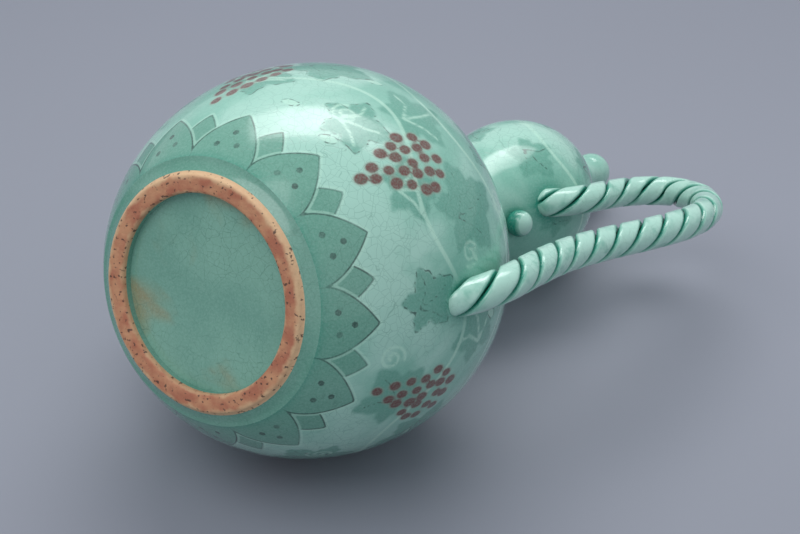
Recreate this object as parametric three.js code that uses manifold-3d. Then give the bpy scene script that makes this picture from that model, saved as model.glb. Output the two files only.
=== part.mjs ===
// A double-gourd ewer with a twisted rope handle, standing on its foot ring.
// Sizes are in millimetres. The pot's axis is Z, its handle is towards +X and its spout towards -X.
import * as THREE from "three";
import { mergeVertices } from "three/addons/utils/BufferGeometryUtils.js";
import ManifoldModule from "manifold-3d";

// Foot ring and floor
const FOOT_OUTER_RADIUS = 40;
const FOOT_WIDTH = 6.5;
const FOOT_HEIGHT = 4.5;
const FOOT_BEVEL = 0.7;
const FOOT_FLARE_RADIUS = 45.2;
const FLOOR_THICKNESS = 6;

// Lower bulb
const BULB_RADIUS = 67.5;
const BULB_WIDEST_Z = 60;
const SHOULDER_RISE = 62;
const SHOULDER_FULLNESS = 2.3;
const SHOULDER_END_RADIUS = 24;

// Waist, upper bulb and mouth
const WAIST_RADIUS = 13.5;
const WAIST_Z = 137;
const UPPER_RADIUS = 29;
const UPPER_WIDEST_Z = 190;
const COLLAR_RADIUS = 6.4;
const COLLAR_Z = 238;
const MOUTH_BORE_RADIUS = 4;
const LIP_RADIUS = 7.4;
const LIP_HALF_HEIGHT = 4.5;
const HEIGHT = 252;
const WALL = 4.5;

// Spout, as the distance of its centre line from the axis and its height
const SPOUT_REACH = 81;
const SPOUT_TIP_Z = 186;
const SPOUT_ROOT_Z = 66;
const SPOUT_ROOT_RADIUS = 12.5;
const SPOUT_TIP_RADIUS = 5.6;
const SPOUT_ROOT_BORE = 8;
const SPOUT_TIP_BORE = 3.5;
const SPOUT_TAPER_POWER = 0.8;

// Rope handle
const ROPE_ROOT_RADIUS = 6.2;
const ROPE_END_RADIUS = 5.3;
const ROPE_PITCH = 36;
const STRANDS = 3;
const STRAND_CENTRE = 0.55;
const STRAND_SOFTNESS = 6;
const HANDLE_CLEAR = 7;
const HANDLE_REACH = 84;
const HANDLE_REACH_Z = 174;
const HANDLE_TOP_Z = 222;
const HANDLE_TOP_REACH = 50;
const LOWER_SEAT_Z = 50;
const UPPER_SEAT_Z = 171;
const LOWER_SEAT_SIDE = 5;
const UPPER_SEAT_SIDE = -2.5;

// Bud under the handle's upper end
const BUD_RADIUS = 5;
const BUD_Z = 159.5;
const BUD_SIDE = 3;

// The gap left where one piece is pressed on another
const SEAT_GAP = 0.3;

// Facets
const ROUND_SEGMENTS = 60;
const NECK_SEGMENTS = 40;
const CURVE_STEPS = 10;
const SPOUT_STEPS = 20;
const SPOUT_SIDES = 16;
const STRAND_SIDES = 12;
const STEPS_PER_TURN = 12;
const MERGE_DISTANCE = 1e-4;

const kernel = await ManifoldModule();
kernel.setup();

const glaze = { color: 0x93a797, roughness: 0.22, metalness: 0 };
const ropeGlaze = { color: 0xa9b8a8, roughness: 0.24, metalness: 0 };
const bareClay = { color: 0xa06f4b, roughness: 0.85, metalness: 0 };

// Merges equal vertices and drops the triangles that collapse on the axis.
function weld(geometry) {
  const bare = geometry.clone();
  bare.deleteAttribute("normal");
  bare.deleteAttribute("uv");
  const merged = mergeVertices(bare, MERGE_DISTANCE);
  const corners = merged.index.array;
  const kept = [];
  for (let i = 0; i < corners.length; i += 3) {
    const [a, b, c] = [corners[i], corners[i + 1], corners[i + 2]];
    if (a !== b && b !== c && c !== a) {
      kept.push(a, b, c);
    }
  }
  merged.setIndex(kept);
  return merged;
}

function toSolid(geometry) {
  const welded = weld(geometry);
  const mesh = new kernel.Mesh({
    numProp: 3,
    vertProperties: new Float32Array(welded.attributes.position.array),
    triVerts: new Uint32Array(welded.index.array),
  });
  return new kernel.Manifold(mesh);
}

// The largest piece of a cut solid, as a geometry.
function toGeometry(solid) {
  const pieces = solid.decompose();
  pieces.sort((one, other) => other.volume() - one.volume());
  const mesh = pieces[0].getMesh();
  const geometry = new THREE.BufferGeometry();
  geometry.setAttribute("position", new THREE.BufferAttribute(new Float32Array(mesh.vertProperties), 3));
  geometry.setIndex(Array.from(mesh.triVerts));
  return geometry;
}

function makeMesh(name, geometry, look) {
  geometry.computeVertexNormals();
  const mesh = new THREE.Mesh(geometry, new THREE.MeshStandardMaterial(look));
  mesh.name = name;
  return mesh;
}

// Turns a profile of (radius, height) points round the Z axis.
function turned(profile, segments) {
  const geometry = new THREE.LatheGeometry(profile, segments);
  geometry.rotateX(Math.PI / 2);
  return weld(geometry);
}

function point(radius, height) {
  return new THREE.Vector2(radius, height);
}

// The lower bulb from the foot to its widest place: part of an ellipse.
function bellyOutline() {
  const startAngle = Math.acos(FOOT_FLARE_RADIUS / BULB_RADIUS);
  const depth = (BULB_WIDEST_Z - FOOT_HEIGHT) / Math.sin(startAngle);
  const points = [];
  for (let i = 0; i <= CURVE_STEPS; i += 1) {
    const angle = startAngle * (1 - i / CURVE_STEPS);
    points.push(point(BULB_RADIUS * Math.cos(angle), BULB_WIDEST_Z - depth * Math.sin(angle)));
  }
  return points;
}

// The shoulder: part of a superellipse, which falls late and steeply.
function shoulderOutline() {
  const power = 2 / SHOULDER_FULLNESS;
  const endAngle = Math.acos((SHOULDER_END_RADIUS / BULB_RADIUS) ** (1 / power));
  const points = [];
  for (let i = 1; i <= CURVE_STEPS; i += 1) {
    const angle = (endAngle * i) / CURVE_STEPS;
    const radius = BULB_RADIUS * Math.cos(angle) ** power;
    points.push(point(radius, BULB_WIDEST_Z + SHOULDER_RISE * Math.sin(angle) ** power));
  }
  return points;
}

function bezierOutline(start, startPull, endPull, end) {
  return new THREE.CubicBezierCurve(start, startPull, endPull, end).getPoints(CURVE_STEPS).slice(1);
}

// The concave sweep from the shoulder up to the waist.
function waistOutline(shoulder) {
  const end = shoulder[shoulder.length - 1];
  const before = shoulder[shoulder.length - 2];
  const along = end.clone().sub(before).normalize();
  const pull = (SHOULDER_END_RADIUS - WAIST_RADIUS) * 0.75;
  const startPull = end.clone().addScaledVector(along, pull);
  const endPull = point(WAIST_RADIUS, (end.y + WAIST_Z) / 2);
  return bezierOutline(end, startPull, endPull, point(WAIST_RADIUS, WAIST_Z));
}

function lowerOutline() {
  const shoulder = shoulderOutline();
  return [...bellyOutline(), ...shoulder, ...waistOutline(shoulder)];
}

// The upper bulb from the waist to the collar, as two S-shaped curves.
function upperOutline() {
  const waist = point(WAIST_RADIUS, WAIST_Z);
  const widest = point(UPPER_RADIUS, UPPER_WIDEST_Z);
  const collar = point(COLLAR_RADIUS, COLLAR_Z);
  const rise = UPPER_WIDEST_Z - WAIST_Z;
  const fall = COLLAR_Z - UPPER_WIDEST_Z;
  const lowPulls = [point(WAIST_RADIUS, WAIST_Z + rise * 0.3), point(UPPER_RADIUS, UPPER_WIDEST_Z - rise * 0.38)];
  const highPulls = [point(UPPER_RADIUS, UPPER_WIDEST_Z + fall * 0.55), point(COLLAR_RADIUS, COLLAR_Z - fall * 0.32)];
  return [
    waist,
    ...bezierOutline(waist, ...lowPulls, widest),
    ...bezierOutline(widest, ...highPulls, collar),
  ];
}

// An outline moved inwards by a wall, along its own normals. The wall depends on the height.
function insideOf(outline, wallAt) {
  return outline.map((here, i) => {
    const before = outline[Math.max(i - 1, 0)];
    const after = outline[Math.min(i + 1, outline.length - 1)];
    const along = after.clone().sub(before).normalize();
    const isEnd = i === outline.length - 1 || i === 0;
    const normal = isEnd ? point(1, 0) : point(along.y, -along.x);
    return here.clone().addScaledVector(normal, -wallAt(here.y));
  });
}

function footRing() {
  const inner = FOOT_OUTER_RADIUS - FOOT_WIDTH;
  const profile = [
    point(inner + FOOT_BEVEL, 0),
    point(FOOT_OUTER_RADIUS - FOOT_BEVEL, 0),
    point(FOOT_OUTER_RADIUS, FOOT_BEVEL),
    point((FOOT_OUTER_RADIUS + FOOT_FLARE_RADIUS) / 2 - FOOT_BEVEL, FOOT_HEIGHT * 0.6),
    point(FOOT_FLARE_RADIUS, FOOT_HEIGHT),
    point(inner, FOOT_HEIGHT),
    point(inner, FOOT_BEVEL),
    point(inner + FOOT_BEVEL, 0),
  ];
  return turned(profile, ROUND_SEGMENTS);
}

// The full bulb without its hollow, grown by a gap, which trims what is pressed on it.
function bulbCutter(outline, gap, segments) {
  const grown = outline.map((p) => point(p.x + gap, p.y));
  const first = grown[0];
  const last = grown[grown.length - 1];
  return toSolid(turned([point(0, first.y), ...grown, point(0, last.y)], segments));
}

function lowerBulb() {
  const outside = lowerOutline();
  const floor = FOOT_HEIGHT + FLOOR_THICKNESS;
  const inside = insideOf(outside, () => WALL).filter((p) => p.y > floor);
  inside.reverse();
  const lowest = inside[inside.length - 1];
  const profile = [point(0, FOOT_HEIGHT), ...outside, ...inside, point(lowest.x - WALL, floor), point(0, floor)];
  return toSolid(turned(profile, ROUND_SEGMENTS));
}

function upperBulb() {
  const collarWall = COLLAR_RADIUS - MOUTH_BORE_RADIUS;
  const share = (height) => (height - WAIST_Z) / (COLLAR_Z - WAIST_Z);
  const outside = upperOutline();
  const inside = insideOf(outside, (height) => THREE.MathUtils.lerp(WALL, collarWall, share(height)));
  inside.reverse();
  return turned([...outside, ...inside, outside[0]], NECK_SEGMENTS);
}

// The collar with its rolled lip, whose section is most of an ellipse.
function mouthLip() {
  const rollWidth = (LIP_RADIUS - MOUTH_BORE_RADIUS) * 0.62;
  const rollCentre = LIP_RADIUS - rollWidth;
  const rollZ = HEIGHT - LIP_HALF_HEIGHT;
  const startAngle = -Math.acos((COLLAR_RADIUS - rollCentre) / rollWidth);
  const endAngle = Math.acos((MOUTH_BORE_RADIUS - rollCentre) / rollWidth);
  const profile = [point(COLLAR_RADIUS, COLLAR_Z)];
  for (let i = 0; i <= CURVE_STEPS; i += 1) {
    const angle = THREE.MathUtils.lerp(startAngle, endAngle, i / CURVE_STEPS);
    profile.push(point(rollCentre + rollWidth * Math.cos(angle), rollZ + LIP_HALF_HEIGHT * Math.sin(angle)));
  }
  profile.push(point(MOUTH_BORE_RADIUS, COLLAR_Z), profile[0].clone());
  return turned(profile, NECK_SEGMENTS);
}

// A closed solid through rings with equal numbers of points. Its quads are split in mirror
// fashion on the two halves, so that the flanks of neighbouring strands twist alike.
function loft(rings) {
  const sides = rings[0].length;
  const corners = rings.flat();
  const ends = [rings[0], rings[rings.length - 1]];
  const centres = ends.map((ring) => {
    const sum = ring.reduce((total, corner) => total.add(corner), new THREE.Vector3());
    return sum.divideScalar(sides);
  });
  const index = [];
  const lastRing = (rings.length - 1) * sides;
  const startCentre = corners.length;
  for (let j = 0; j < sides; j += 1) {
    const next = (j + 1) % sides;
    for (let low = 0; low < lastRing; low += sides) {
      const high = low + sides;
      if (j < sides / 2) {
        index.push(low + j, low + next, high + next, low + j, high + next, high + j);
      } else {
        index.push(low + j, low + next, high + j, low + next, high + next, high + j);
      }
    }
    index.push(startCentre, next, j, startCentre + 1, lastRing + j, lastRing + next);
  }
  const geometry = new THREE.BufferGeometry();
  geometry.setFromPoints([...corners, ...centres]);
  geometry.setIndex(index);
  return geometry;
}

// The place, direction and two cross directions at a share of a curve's length.
function frameAt(curve, share) {
  const origin = curve.getPointAt(share);
  const tangent = curve.getTangentAt(share);
  const side = new THREE.Vector3(0, 1, 0).addScaledVector(tangent, -tangent.y).normalize();
  const normal = new THREE.Vector3().crossVectors(side, tangent);
  return { origin, side, normal };
}

function place(frame, across, aside) {
  return frame.origin.clone().addScaledVector(frame.normal, across).addScaledVector(frame.side, aside);
}

// The spout leaves the belly, bows outwards and ends upright.
function spoutCurve() {
  const rise = SPOUT_TIP_Z - SPOUT_ROOT_Z;
  const route = [
    [BULB_RADIUS - 3 * WALL, SPOUT_ROOT_Z],
    [BULB_RADIUS - WALL / 3, SPOUT_ROOT_Z + rise * 0.07],
    [SPOUT_REACH - 5, SPOUT_ROOT_Z + rise * 0.2],
    [SPOUT_REACH, SPOUT_ROOT_Z + rise * 0.4],
    [SPOUT_REACH, SPOUT_ROOT_Z + rise * 0.7],
    [SPOUT_REACH, SPOUT_TIP_Z],
  ];
  return new THREE.CatmullRomCurve3(route.map(([reach, z]) => new THREE.Vector3(-reach, 0, z)));
}

function spoutTube(rootRadius, tipRadius) {
  const curve = spoutCurve();
  const rings = [];
  for (let i = 0; i <= SPOUT_STEPS; i += 1) {
    const share = i / SPOUT_STEPS;
    const frame = frameAt(curve, share);
    const radius = THREE.MathUtils.lerp(rootRadius, tipRadius, share ** SPOUT_TAPER_POWER);
    const ring = [];
    for (let j = 0; j < SPOUT_SIDES; j += 1) {
      const angle = (2 * Math.PI * j) / SPOUT_SIDES;
      ring.push(place(frame, radius * Math.cos(angle), radius * Math.sin(angle)));
    }
    rings.push(ring);
  }
  return toSolid(loft(rings));
}

// The handle's centre line, from inside the lower bulb to inside the upper one.
function handleCurve() {
  const clear = BULB_RADIUS + HANDLE_CLEAR;
  const beside = UPPER_RADIUS + ROPE_END_RADIUS;
  const route = [
    [BULB_RADIUS - 12, LOWER_SEAT_SIDE, LOWER_SEAT_Z - 4],
    [BULB_RADIUS - 1, LOWER_SEAT_SIDE, LOWER_SEAT_Z + 3],
    [clear - 0.5, LOWER_SEAT_SIDE / 2, LOWER_SEAT_Z + 15],
    [clear, LOWER_SEAT_SIDE / 6, LOWER_SEAT_Z + 34],
    [clear - 0.5, 0, LOWER_SEAT_Z + 56],
    [clear + 2, 0, LOWER_SEAT_Z + 80],
    [HANDLE_REACH - 2.5, 0, HANDLE_REACH_Z - 22],
    [HANDLE_REACH, 0, HANDLE_REACH_Z],
    [HANDLE_REACH - 4.5, 0, HANDLE_REACH_Z + 23],
    [(HANDLE_REACH + HANDLE_TOP_REACH) / 2, UPPER_SEAT_SIDE / 8, HANDLE_TOP_Z - 7],
    [HANDLE_TOP_REACH, UPPER_SEAT_SIDE / 4, HANDLE_TOP_Z],
    [HANDLE_TOP_REACH - 10, UPPER_SEAT_SIDE / 2, HANDLE_TOP_Z - 8],
    [beside + 1.5, UPPER_SEAT_SIDE * 0.8, UPPER_SEAT_Z + 29],
    [beside + 0.3, UPPER_SEAT_SIDE, UPPER_SEAT_Z + 17],
    [beside - 4.8, UPPER_SEAT_SIDE, UPPER_SEAT_Z + 6.5],
    [beside - 13.3, UPPER_SEAT_SIDE, UPPER_SEAT_Z],
    [beside - 22, UPPER_SEAT_SIDE, UPPER_SEAT_Z - 3],
  ];
  return new THREE.CatmullRomCurve3(route.map((p) => new THREE.Vector3(...p)), false, "centripetal");
}

// How far a strand's outline is from its own centre, in a direction measured from the rope's outside.
function strandReach(ropeRadius, direction) {
  const centre = STRAND_CENTRE * ropeRadius;
  const half = Math.PI / STRANDS;
  const flank = centre * Math.sin(half) - SEAT_GAP / 2;
  const outer = Math.sqrt(ropeRadius ** 2 - (centre * Math.sin(direction)) ** 2) - centre * Math.cos(direction);
  const left = Math.max(0, Math.cos(direction - half - Math.PI / 2)) / flank;
  const right = Math.max(0, Math.cos(direction + half + Math.PI / 2)) / flank;
  const total = outer ** -STRAND_SOFTNESS + left ** STRAND_SOFTNESS + right ** STRAND_SOFTNESS;
  return total ** (-1 / STRAND_SOFTNESS);
}

// One strand of the rope. The twist is left-handed.
function strand(number) {
  const curve = handleCurve();
  const turns = curve.getLength() / ROPE_PITCH;
  const steps = Math.round(turns * STEPS_PER_TURN);
  const rings = [];
  for (let i = 0; i <= steps; i += 1) {
    const share = i / steps;
    const frame = frameAt(curve, share);
    const ropeRadius = THREE.MathUtils.lerp(ROPE_ROOT_RADIUS, ROPE_END_RADIUS, share);
    const twist = 2 * Math.PI * (number / STRANDS - turns * share);
    const ring = [];
    for (let j = 0; j < STRAND_SIDES; j += 1) {
      const direction = (2 * Math.PI * j) / STRAND_SIDES;
      const reach = strandReach(ropeRadius, direction);
      const out = STRAND_CENTRE * ropeRadius + reach * Math.cos(direction);
      const aside = reach * Math.sin(direction);
      const across = out * Math.cos(twist) - aside * Math.sin(twist);
      ring.push(place(frame, across, out * Math.sin(twist) + aside * Math.cos(twist)));
    }
    rings.push(ring);
  }
  return toSolid(loft(rings));
}

// The bud is a ball pressed on the waist's flare, just under the handle's end.
function bud() {
  const outline = upperOutline();
  const above = outline.findIndex((p) => p.y > BUD_Z);
  const [low, high] = [outline[above - 1], outline[above]];
  const reach = THREE.MathUtils.mapLinear(BUD_Z, low.y, high.y, low.x, high.x);
  const ball = new THREE.SphereGeometry(BUD_RADIUS, 20, 14);
  ball.translate(reach + BUD_RADIUS * 0.35, BUD_SIDE, BUD_Z);
  return toSolid(ball);
}

const lowerCutter = bulbCutter(lowerOutline(), SEAT_GAP, ROUND_SEGMENTS);
const upperCutter = bulbCutter(upperOutline(), SEAT_GAP, NECK_SEGMENTS);
const spoutBore = spoutTube(SPOUT_ROOT_BORE, SPOUT_TIP_BORE);
const spoutWall = spoutTube(SPOUT_ROOT_RADIUS, SPOUT_TIP_RADIUS);

const ewer = new THREE.Group();
ewer.name = "gourd_ewer";
ewer.add(makeMesh("foot_ring", footRing(), bareClay));
ewer.add(makeMesh("lower_bulb", toGeometry(lowerBulb().subtract(spoutBore)), glaze));
ewer.add(makeMesh("upper_bulb", upperBulb(), glaze));
ewer.add(makeMesh("mouth_lip", mouthLip(), glaze));
ewer.add(makeMesh("spout", toGeometry(spoutWall.subtract(spoutBore).subtract(lowerCutter)), glaze));

const handle = new THREE.Group();
handle.name = "handle";
for (let number = 0; number < STRANDS; number += 1) {
  const trimmed = strand(number).subtract(lowerCutter).subtract(upperCutter);
  handle.add(makeMesh(`handle_strand_${number + 1}`, toGeometry(trimmed), ropeGlaze));
}
handle.add(makeMesh("handle_bud", toGeometry(bud().subtract(upperCutter)), ropeGlaze));
ewer.add(handle);

export default ewer;
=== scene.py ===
import math

import bmesh
import bpy
import numpy as np
from mathutils import Matrix, Vector


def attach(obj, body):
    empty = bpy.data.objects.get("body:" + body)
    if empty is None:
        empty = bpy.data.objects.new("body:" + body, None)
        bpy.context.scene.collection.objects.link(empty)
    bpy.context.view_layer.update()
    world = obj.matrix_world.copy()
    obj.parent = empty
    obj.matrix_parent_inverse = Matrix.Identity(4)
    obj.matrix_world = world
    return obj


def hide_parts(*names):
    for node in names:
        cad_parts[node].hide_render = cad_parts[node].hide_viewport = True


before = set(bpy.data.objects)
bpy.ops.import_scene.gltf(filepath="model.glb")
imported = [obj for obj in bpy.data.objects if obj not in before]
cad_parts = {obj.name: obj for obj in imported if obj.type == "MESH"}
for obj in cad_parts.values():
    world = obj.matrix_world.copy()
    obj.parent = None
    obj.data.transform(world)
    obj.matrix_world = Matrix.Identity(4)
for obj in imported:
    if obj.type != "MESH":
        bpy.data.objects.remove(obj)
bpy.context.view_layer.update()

MM = 0.001
FULL_TURN = 2 * math.pi
FAR = 99.0

# Sizes that the CAD source also holds, in millimetres
FOOT_OUTER_RADIUS = 40.0
FOOT_WIDTH = 6.5
FOOT_HEIGHT = 4.5
FOOT_FLARE_RADIUS = 45.2
FLOOR_THICKNESS = 6.0
BULB_RADIUS = 67.5
BULB_WIDEST_Z = 60.0
SHOULDER_RISE = 62.0
SHOULDER_FULLNESS = 2.3
SHOULDER_END_RADIUS = 24.0
SHOULDER_PULL = 0.75
WAIST_RADIUS = 13.5
WAIST_Z = 137.0
UPPER_RADIUS = 29.0
UPPER_WIDEST_Z = 190.0
RISE_PULLS = (0.3, 0.38)
FALL_PULLS = (0.55, 0.32)
COLLAR_RADIUS = 6.4
COLLAR_Z = 238.0
MOUTH_BORE_RADIUS = 4.0
LIP_RADIUS = 7.4
LIP_HALF_HEIGHT = 4.5
LIP_ROLL = 0.62
HEIGHT = 252.0
WALL = 4.5
SPOUT_REACH = 81.0
SPOUT_TIP_Z = 186.0
SPOUT_ROOT_Z = 66.0
SPOUT_ROOT_RADIUS = 12.5
SPOUT_TIP_RADIUS = 5.6
SPOUT_ROOT_BORE = 8.0
SPOUT_TIP_BORE = 3.5
SPOUT_TAPER_POWER = 0.8
ROPE_ROOT_RADIUS = 6.2
ROPE_END_RADIUS = 5.3
ROPE_PITCH = 36.0
STRANDS = 3
STRAND_CENTRE = 0.55
HANDLE_CLEAR = 7.0
HANDLE_REACH = 84.0
HANDLE_REACH_Z = 174.0
HANDLE_TOP_Z = 222.0
HANDLE_TOP_REACH = 50.0
LOWER_SEAT_Z = 50.0
UPPER_SEAT_Z = 171.0
LOWER_SEAT_SIDE = 5.0
UPPER_SEAT_SIDE = -2.5
BUD_RADIUS = 5.0
BUD_Z = 159.5
BUD_SIDE = 3.0
BUD_LIFT = 0.35
SEAT_GAP = 0.3

# Sizes of the visual alone: rounder strands with rounded ends, and softer edges
STRAND_SOFTNESS = 3.4
STRAND_SPAN = (0.022, 0.966)
STRAND_END_AREA = 0.16
STRAND_END_LENGTH = 5.0
SPOUT_FIRST_SHARE = 0.06
SPOUT_TIP_ROUNDING = 0.5
FOOT_WEAR = 0.35
FOOT_WEAR_WIDTH = 1.4
FOOT_WEAR_WAVES = (7, 13, 23, 41, 67)
FLARE_GLAZE_EDGE = (0.6, 0.9)
INNER_GLAZE_EDGE = (0.1, 2.0)

# Fineness: sides round a piece, and steps along it
LOWER_SIDES = 400
UPPER_SIDES = 220
LIP_SIDES = 96
FOOT_SIDES = 300
SPOUT_SIDES = 48
STRAND_SIDES = 26
BASE_STEPS = 29
LOWER_STEPS = 64
UPPER_STEPS = 56
LIP_STEPS = 27
FOOT_STEPS = 60
SPOUT_STEPS = 90
STRAND_STEPS_PER_TURN = 34
SPAN_STEPS = 40
SEAT_SEARCH_STEPS = 200

# The photograph's camera, with the pot's axis and place as it sees them
FOCAL_PIXELS = 2800.0
IMAGE_WIDTH = 800.0
SENSOR_MM = 36.0
AXIS_TILT = math.radians(36.77)
AXIS_ROLL = math.radians(-18.41)
HANDLE_TURN = math.radians(20.5)
FOOT_PLACE = Vector((-64.9, 9.1, 912.6))
CAMERA_RISE = math.radians(34.0)

# Floor and light: metres, watts, degrees, and directions as the camera sees them
FLOOR_HALF = 3.0
FLOOR_GAP = 0.0001
LIGHT_TARGET = Vector((0.02, 0, 0.09))
WINDOW_TOWARDS = Vector((0.10, -0.99, -0.02))
WINDOW_SIZE = (1.0, 0.4)
WINDOW_DISTANCE = 1.0
WINDOW_POWER = 1.35
WINDOW_SPREAD = 75
FILL_TOWARDS = Vector((-0.35, -0.5, -0.8))
FILL_SIZE = (1.0, 1.0)
FILL_DISTANCE = 1.5
FILL_POWER = 3.4
FILL_SPREAD = 120
WORLD_STRENGTH = 0.64

# Colours, linear
GLAZE_PALE = (0.36, 0.62, 0.52, 1)
GLAZE_MID = (0.20, 0.47, 0.37, 1)
LEAF = (0.115, 0.34, 0.26, 1)
PETAL = (0.10, 0.29, 0.215, 1)
INK = (0.018, 0.05, 0.04, 1)
SLIP = (0.46, 0.74, 0.60, 1)
COPPER = (0.13, 0.035, 0.03, 1)
COPPER_BLOOM = (0.30, 0.30, 0.24, 1)
EMERALD = (0.012, 0.24, 0.165, 1)
BASE_GREEN = (0.15, 0.34, 0.265, 1)
BASE_PALE = (0.20, 0.41, 0.32, 1)
STAIN = (0.30, 0.235, 0.11, 1)
CRAZE = (0.055, 0.17, 0.125, 1)
# Pale crest colour of the rope: thin glaze, and a painted highlight on top of it
ROPE_THIN_GLAZE_AND_HIGHLIGHT = (0.40, 0.66, 0.56, 1)
CLAY_RED = (0.42, 0.15, 0.085, 1)
CLAY_ORANGE = (0.56, 0.28, 0.15, 1)
CLAY_TAN = (0.64, 0.42, 0.24, 1)
CLAY_DARK = (0.05, 0.03, 0.025, 1)
FLOOR_GREY = (0.235, 0.25, 0.295, 1)
FLOOR_GREY_LIGHTER = (0.245, 0.26, 0.31, 1)
WORLD_GREY = (0.90, 0.94, 1.0, 1)

# Painted motifs: degrees round the pot, millimetres along its outline from the foot or the waist
PAINTED_FIELDS = ("leaf", "petal", "petal_behind", "ink", "slip", "copper")
PETALS = 12
PETAL_PHASE = math.radians(7.5)
PETAL_START = -2.0
PETAL_TIP = 20.0
PETAL_HALF = 12.2
PETAL_BEHIND_TIP = 18.5
PETAL_BEHIND_HALF = 8.0
PETAL_BEHIND_BLUNTNESS = 1.2
PETAL_POWER = 1.75
PETAL_SHOULDER = 0.2
PETAL_PINCH = 0.1
PETAL_FIELD = 34
PETAL_DOTS = ((-3.9, 5.6), (3.6, 6.6), (0.2, 11.4))
PETAL_DOT_RADIUS = 0.85
PETAL_MARGIN = 1.5
GRAPE_BUNCHES = (-101.0, -39.5, 32.5, 95.0, 155.0, 206.0)
GRAPE_ROWS = (1, 2, 3, 4, 5, 5, 3)
GRAPE_TIP = 27.0
GRAPE_LEAN = -0.12
GRAPE_SPACING = (5.0, 5.4)
GRAPE_SCATTER = (0.9, 1.0)
GRAPE_STRETCH = (1.0, 1.25)
GRAPE_RADII = (1.75, 2.15)
GRAPE_FIELD_HALF = 24
GRAPE_FIELD_SPAN = (-5, 42)
LOWER_LEAF_ROWS = ((38.0, 11, 15.0, 6.0), (66.0, 10, 18.0, 20.0), (97.0, 9, 14.0, 2.0))
UPPER_LEAF_ROWS = ((44.0, 6, 11.0, 10.0), (68.0, 6, 10.0, 38.0))
LEAF_SCATTER = 4
LEAF_SPIN = 2.6
LEAF_SIZES = (0.85, 1.15)
LEAF_FIELD = 1.7
INKED_LEAVES = 0.3
PALE_VEINS = 0.35
VEIN_ANGLES = (-1.25, 0, 1.25)
VEIN_LENGTH = 0.72
VEIN_BEND = 0.08
VEIN_ROOT = -0.3
VEIN_FIELD = 1.3
STEM_HALF = 0.25
LOWER_STEMS = ((50.0, 7.0, 5, 0.4), (82.0, 6.0, 4, 1.9), (112.0, 4.0, 3, 0.2))
UPPER_STEMS = ((55.0, 5.0, 3, 0.8),)
TENDRIL_TURNS = 1.7
TENDRIL_TIGHTENING = 0.85
LOWER_TENDRIL_RADIUS = 5.0
LOWER_TENDRIL_SPIN = 0.07
LOWER_TENDRILS = (
    (20, 27), (-8, 60), (-60, 40), (-125, 30), (70, 34), (125, 42),
    (180, 33), (-20, 88), (60, 84), (140, 90), (-95, 84),
)
UPPER_TENDRIL_RADIUS = 3.5
UPPER_TENDRIL_SPIN = 0.1
UPPER_TENDRILS = ((40, 56), (160, 52), (-80, 58))
OVALS = (
    (-55.5, 27, 0.5), (-75, 31.6, 0.2), (-68, 66.8, 0.6), (55, 60, 0.4),
    (120, 66, 1.0), (-140, 62, 0.3), (12, 74, 0.9),
)
OVAL_EDGE = (3.3, 1.7)
OVAL_FILL = (2.4, 0.9)
OVAL_FIELD = 9

rng = np.random.default_rng(11)


# Outlines of the pot, as arrays of (radius, height)
def bezier(points, steps):
    t = np.linspace(0, 1, steps + 1)[1:, None]
    a, b, c, d = (np.array(p, float) for p in points)
    return a * (1 - t) ** 3 + 3 * b * t * (1 - t) ** 2 + 3 * c * t**2 * (1 - t) + d * t**3


def lower_outline():
    start = math.acos(FOOT_FLARE_RADIUS / BULB_RADIUS)
    depth = (BULB_WIDEST_Z - FOOT_HEIGHT) / math.sin(start)
    angle = np.linspace(start, 0, LOWER_STEPS + 1)
    belly = np.c_[BULB_RADIUS * np.cos(angle), BULB_WIDEST_Z - depth * np.sin(angle)]
    power = 2 / SHOULDER_FULLNESS
    end = math.acos((SHOULDER_END_RADIUS / BULB_RADIUS) ** (1 / power))
    angle = np.linspace(0, end, LOWER_STEPS + 1)[1:]
    rise = BULB_WIDEST_Z + SHOULDER_RISE * np.sin(angle) ** power
    shoulder = np.c_[BULB_RADIUS * np.cos(angle) ** power, rise]
    last = shoulder[-1]
    along = (last - shoulder[-2]) / np.linalg.norm(last - shoulder[-2])
    pull = last + along * (SHOULDER_END_RADIUS - WAIST_RADIUS) * SHOULDER_PULL
    waist_pull = (WAIST_RADIUS, (last[1] + WAIST_Z) / 2)
    neck = bezier((last, pull, waist_pull, (WAIST_RADIUS, WAIST_Z)), LOWER_STEPS // 3)
    return np.vstack((belly, shoulder, neck))


def upper_outline():
    rise, fall = UPPER_WIDEST_Z - WAIST_Z, COLLAR_Z - UPPER_WIDEST_Z
    waist = (WAIST_RADIUS, WAIST_Z)
    widest = (UPPER_RADIUS, UPPER_WIDEST_Z)
    collar = (COLLAR_RADIUS, COLLAR_Z)
    above_waist = (WAIST_RADIUS, WAIST_Z + rise * RISE_PULLS[0])
    below_widest = (UPPER_RADIUS, UPPER_WIDEST_Z - rise * RISE_PULLS[1])
    above_widest = (UPPER_RADIUS, UPPER_WIDEST_Z + fall * FALL_PULLS[0])
    below_collar = (COLLAR_RADIUS, COLLAR_Z - fall * FALL_PULLS[1])
    first = bezier((waist, above_waist, below_widest, widest), UPPER_STEPS)
    second = bezier((widest, above_widest, below_collar, collar), UPPER_STEPS)
    return np.vstack((np.array([waist]), first, second))


def inside_of(outline, wall):
    along = np.gradient(outline, axis=0)
    along /= np.linalg.norm(along, axis=1)[:, None]
    normal = np.c_[along[:, 1], -along[:, 0]]
    normal[0] = normal[-1] = (1, 0)
    return outline - normal * np.broadcast_to(wall, len(outline))[:, None]


def radius_at(outline, height):
    return np.interp(height, outline[:, 1], outline[:, 0])


def length_along(points):
    return np.concatenate(([0], np.cumsum(np.linalg.norm(np.diff(points, axis=0), axis=1))))


# Meshes
def clean_mesh(mesh, weld=False):
    work = bmesh.new()
    work.from_mesh(mesh)
    if weld:
        bmesh.ops.remove_doubles(work, verts=work.verts, dist=1e-7)
    bmesh.ops.recalc_face_normals(work, faces=work.faces)
    work.to_mesh(mesh)
    work.free()


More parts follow.
